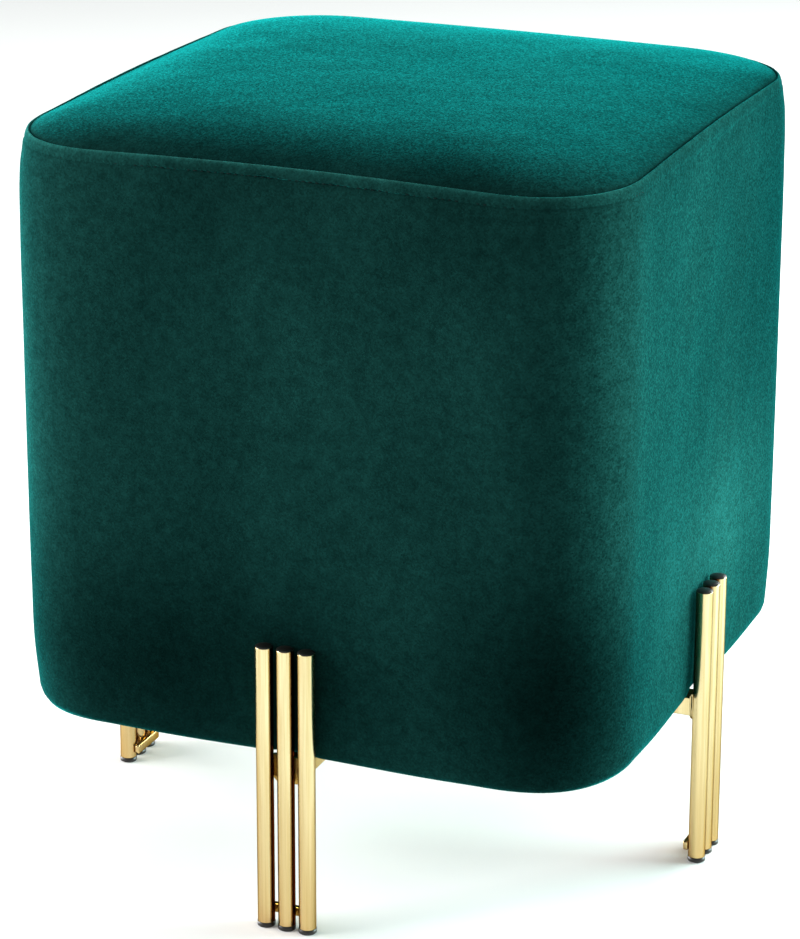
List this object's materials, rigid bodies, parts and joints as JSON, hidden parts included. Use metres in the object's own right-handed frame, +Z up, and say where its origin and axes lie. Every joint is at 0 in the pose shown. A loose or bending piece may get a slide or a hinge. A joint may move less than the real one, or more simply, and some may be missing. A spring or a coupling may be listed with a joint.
{
  "type": "cube pouf stool",
  "caption": "Upholstered cube stool with rounded corners and a crowned top, on legs of parallel upright tubes at the middle of each side.",
  "frame": {"origin": "on the floor, under the middle of the seat", "axes": "+Z up, -Y towards the front, +X to the right seen from the front"},
  "size_m": [0.425, 0.425, 0.503],
  "materials": {
    "velvet": "short-pile velvet, dark teal green",
    "brass": "polished with a satin grain",
    "black_plastic": "moulded, satin"
  },
  "bodies": {
    "root": {"cross_bar": "brass", "foot_cap_back_a": "black_plastic", "foot_cap_back_b": "black_plastic", "foot_cap_back_c": "black_plastic", "foot_cap_front_a": "black_plastic", "foot_cap_front_b": "black_plastic", "foot_cap_front_c": "black_plastic", "foot_cap_left_a": "black_plastic", "foot_cap_left_b": "black_plastic", "foot_cap_left_c": "black_plastic", "foot_cap_right_a": "black_plastic", "foot_cap_right_b": "black_plastic", "foot_cap_right_c": "black_plastic", "half_bar_back": "brass", "half_bar_front": "brass", "plate_back": "brass", "plate_front": "brass", "plate_left": "brass", "plate_right": "brass", "side_band": "velvet", "tie_back": "brass", "tie_front": "brass", "tie_left": "brass", "tie_right": "brass", "top_cap_back_a": "black_plastic", "top_cap_back_b": "black_plastic", "top_cap_back_c": "black_plastic", "top_cap_front_a": "black_plastic", "top_cap_front_b": "black_plastic", "top_cap_front_c": "black_plastic", "top_cap_left_a": "black_plastic", "top_cap_left_b": "black_plastic", "top_cap_left_c": "black_plastic", "top_cap_right_a": "black_plastic", "top_cap_right_b": "black_plastic", "top_cap_right_c": "black_plastic", "top_panel": "velvet", "tube_back_a": "brass", "tube_back_b": "brass", "tube_back_c": "brass", "tube_front_a": "brass", "tube_front_b": "brass", "tube_front_c": "brass", "tube_left_a": "brass", "tube_left_b": "brass", "tube_left_c": "brass", "tube_right_a": "brass", "tube_right_b": "brass", "tube_right_c": "brass"}
  },
  "joints": []
}
